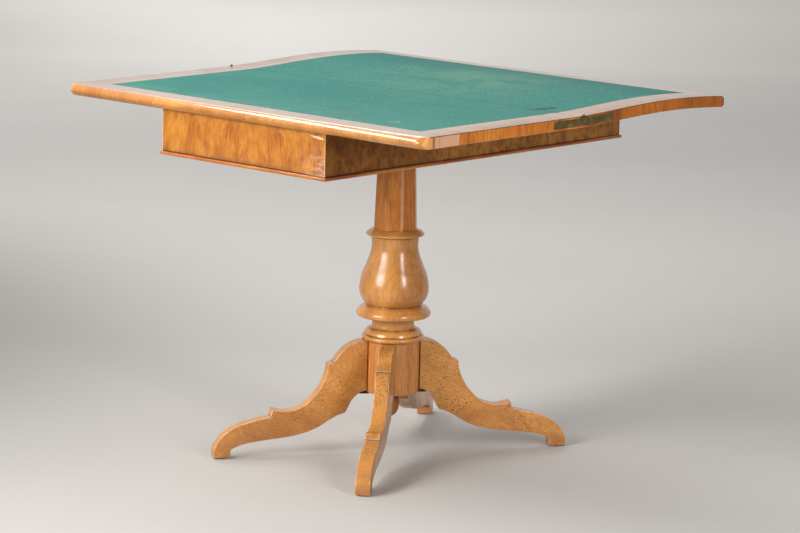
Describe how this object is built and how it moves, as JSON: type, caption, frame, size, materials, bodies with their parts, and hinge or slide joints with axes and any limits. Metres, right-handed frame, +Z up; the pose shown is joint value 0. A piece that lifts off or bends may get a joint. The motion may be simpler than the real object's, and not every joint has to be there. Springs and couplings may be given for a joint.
{
  "type": "card table",
  "caption": "Fold over card table: a swivelling top with baize opens flat over a shallow veneered box, on a turned and faceted column with scroll legs.",
  "frame": {"origin": "on the floor, under the middle of the column", "axes": "+X along the long side of the box, towards the main leaf when open; +Y along its short side and along the fold, away from the near hinge; +Z up"},
  "size_m": [0.926, 0.955, 0.7566],
  "materials": {
    "veneer": "waxed gloss, orange brown figured veneer",
    "turned_wood": "waxed gloss, honey brown",
    "carcase_wood": "unpolished",
    "baize": "worn woollen felt",
    "brass": "dull, aged",
    "iron": "dark, dull"
  },
  "bodies": {
    "base": {"baluster": "turned_wood", "bead_back": "veneer", "bead_front": "veneer", "bead_left": "veneer", "bead_right": "veneer", "column_bearer": "carcase_wood", "column_shaft": "turned_wood", "drum": "turned_wood", "drum_drop": "turned_wood", "frieze_back_rail": "veneer", "frieze_front_rail": "veneer", "frieze_left_end": "veneer", "frieze_right_end": "veneer", "glide_back": "iron", "glide_front": "iron", "glide_left": "iron", "glide_right": "iron", "glue_block_back": "carcase_wood", "glue_block_front": "carcase_wood", "leg_back": "veneer", "leg_front": "veneer", "leg_left": "veneer", "leg_right": "veneer", "leg_plate": "iron", "leg_plate_screw_back": "brass", "leg_plate_screw_front": "brass", "leg_plate_screw_left": "brass", "leg_plate_screw_right": "brass", "pivot_rail": "carcase_wood", "pivot_rail_block_back": "carcase_wood", "pivot_rail_block_front": "carcase_wood", "well_board": "carcase_wood", "well_divider": "carcase_wood"},
    "main": {"main_leaf": "veneer", "main_baize": "baize", "hinge_far_main_strap": "brass", "hinge_far_main_screw_1": "brass", "hinge_far_main_screw_2": "brass", "hinge_far_pin": "brass", "hinge_near_main_strap": "brass", "hinge_near_main_screw_1": "brass", "hinge_near_main_screw_2": "brass", "hinge_near_pin": "brass", "pivot_plate": "iron", "pivot_bolt": "iron", "pivot_washer": "iron", "pivot_nut": "iron", "pivot_plate_screw_1": "brass", "pivot_plate_screw_2": "brass", "stop_peg": "turned_wood"},
    "flap": {"flap_leaf": "veneer", "flap_baize": "baize", "hinge_far_flap_strap": "brass", "hinge_far_flap_screw_1": "brass", "hinge_far_flap_screw_2": "brass", "hinge_near_flap_strap": "brass", "hinge_near_flap_screw_1": "brass", "hinge_near_flap_screw_2": "brass"}
  },
  "joints": [
    {"name": "top_swivel", "type": "hinge", "parent": "base", "child": "main", "pos_m": [0.11575, 0.11575, 0.7251], "axis": [0, 0, 1], "range_deg": [-90, 0]},
    {"name": "flap_fold", "type": "hinge", "parent": "main", "child": "flap", "pos_m": [0, 0, 0.7479], "axis": [0, 1, 0], "range_deg": [0, 177.7]}
  ]
}
